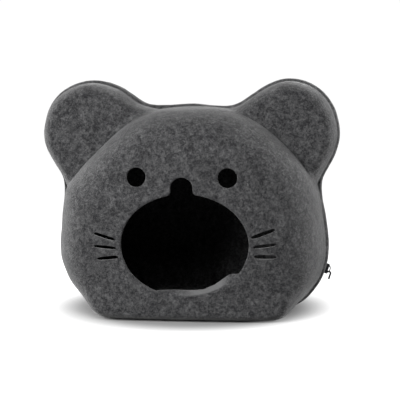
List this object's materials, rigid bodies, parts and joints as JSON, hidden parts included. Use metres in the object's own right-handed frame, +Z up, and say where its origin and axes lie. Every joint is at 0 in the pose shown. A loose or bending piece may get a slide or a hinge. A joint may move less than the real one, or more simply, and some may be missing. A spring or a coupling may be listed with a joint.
{
  "type": "felt cat cave",
  "caption": "Hollow pet bed of moulded grey felt in the shape of a round-eared animal head, zipped round the rim, with a mouth-shaped entrance, eye holes and whisker slits",
  "frame": {"origin": "centre of the bounding box on the floor, under the middle of the cave, in the plane of the zip", "axes": "+Z up, the face and the entrance look along -Y, +X is to the right of someone who looks at the face"},
  "size_m": [0.457, 0.2978, 0.3536],
  "materials": {
    "grey_felt": "matt needled felt with lighter and darker fibres",
    "zip_tape": "woven zip tape",
    "zip_chain": "nylon coil",
    "zip_metal": "dark painted metal"
  },
  "bodies": {
    "root": {"front_shell": "grey_felt", "back_shell": "grey_felt", "zip_tape_front": "zip_tape", "zip_tape_back": "zip_tape", "zip_chain": "zip_chain", "zip_slider": "zip_metal", "zip_pull": "zip_metal"}
  },
  "joints": []
}
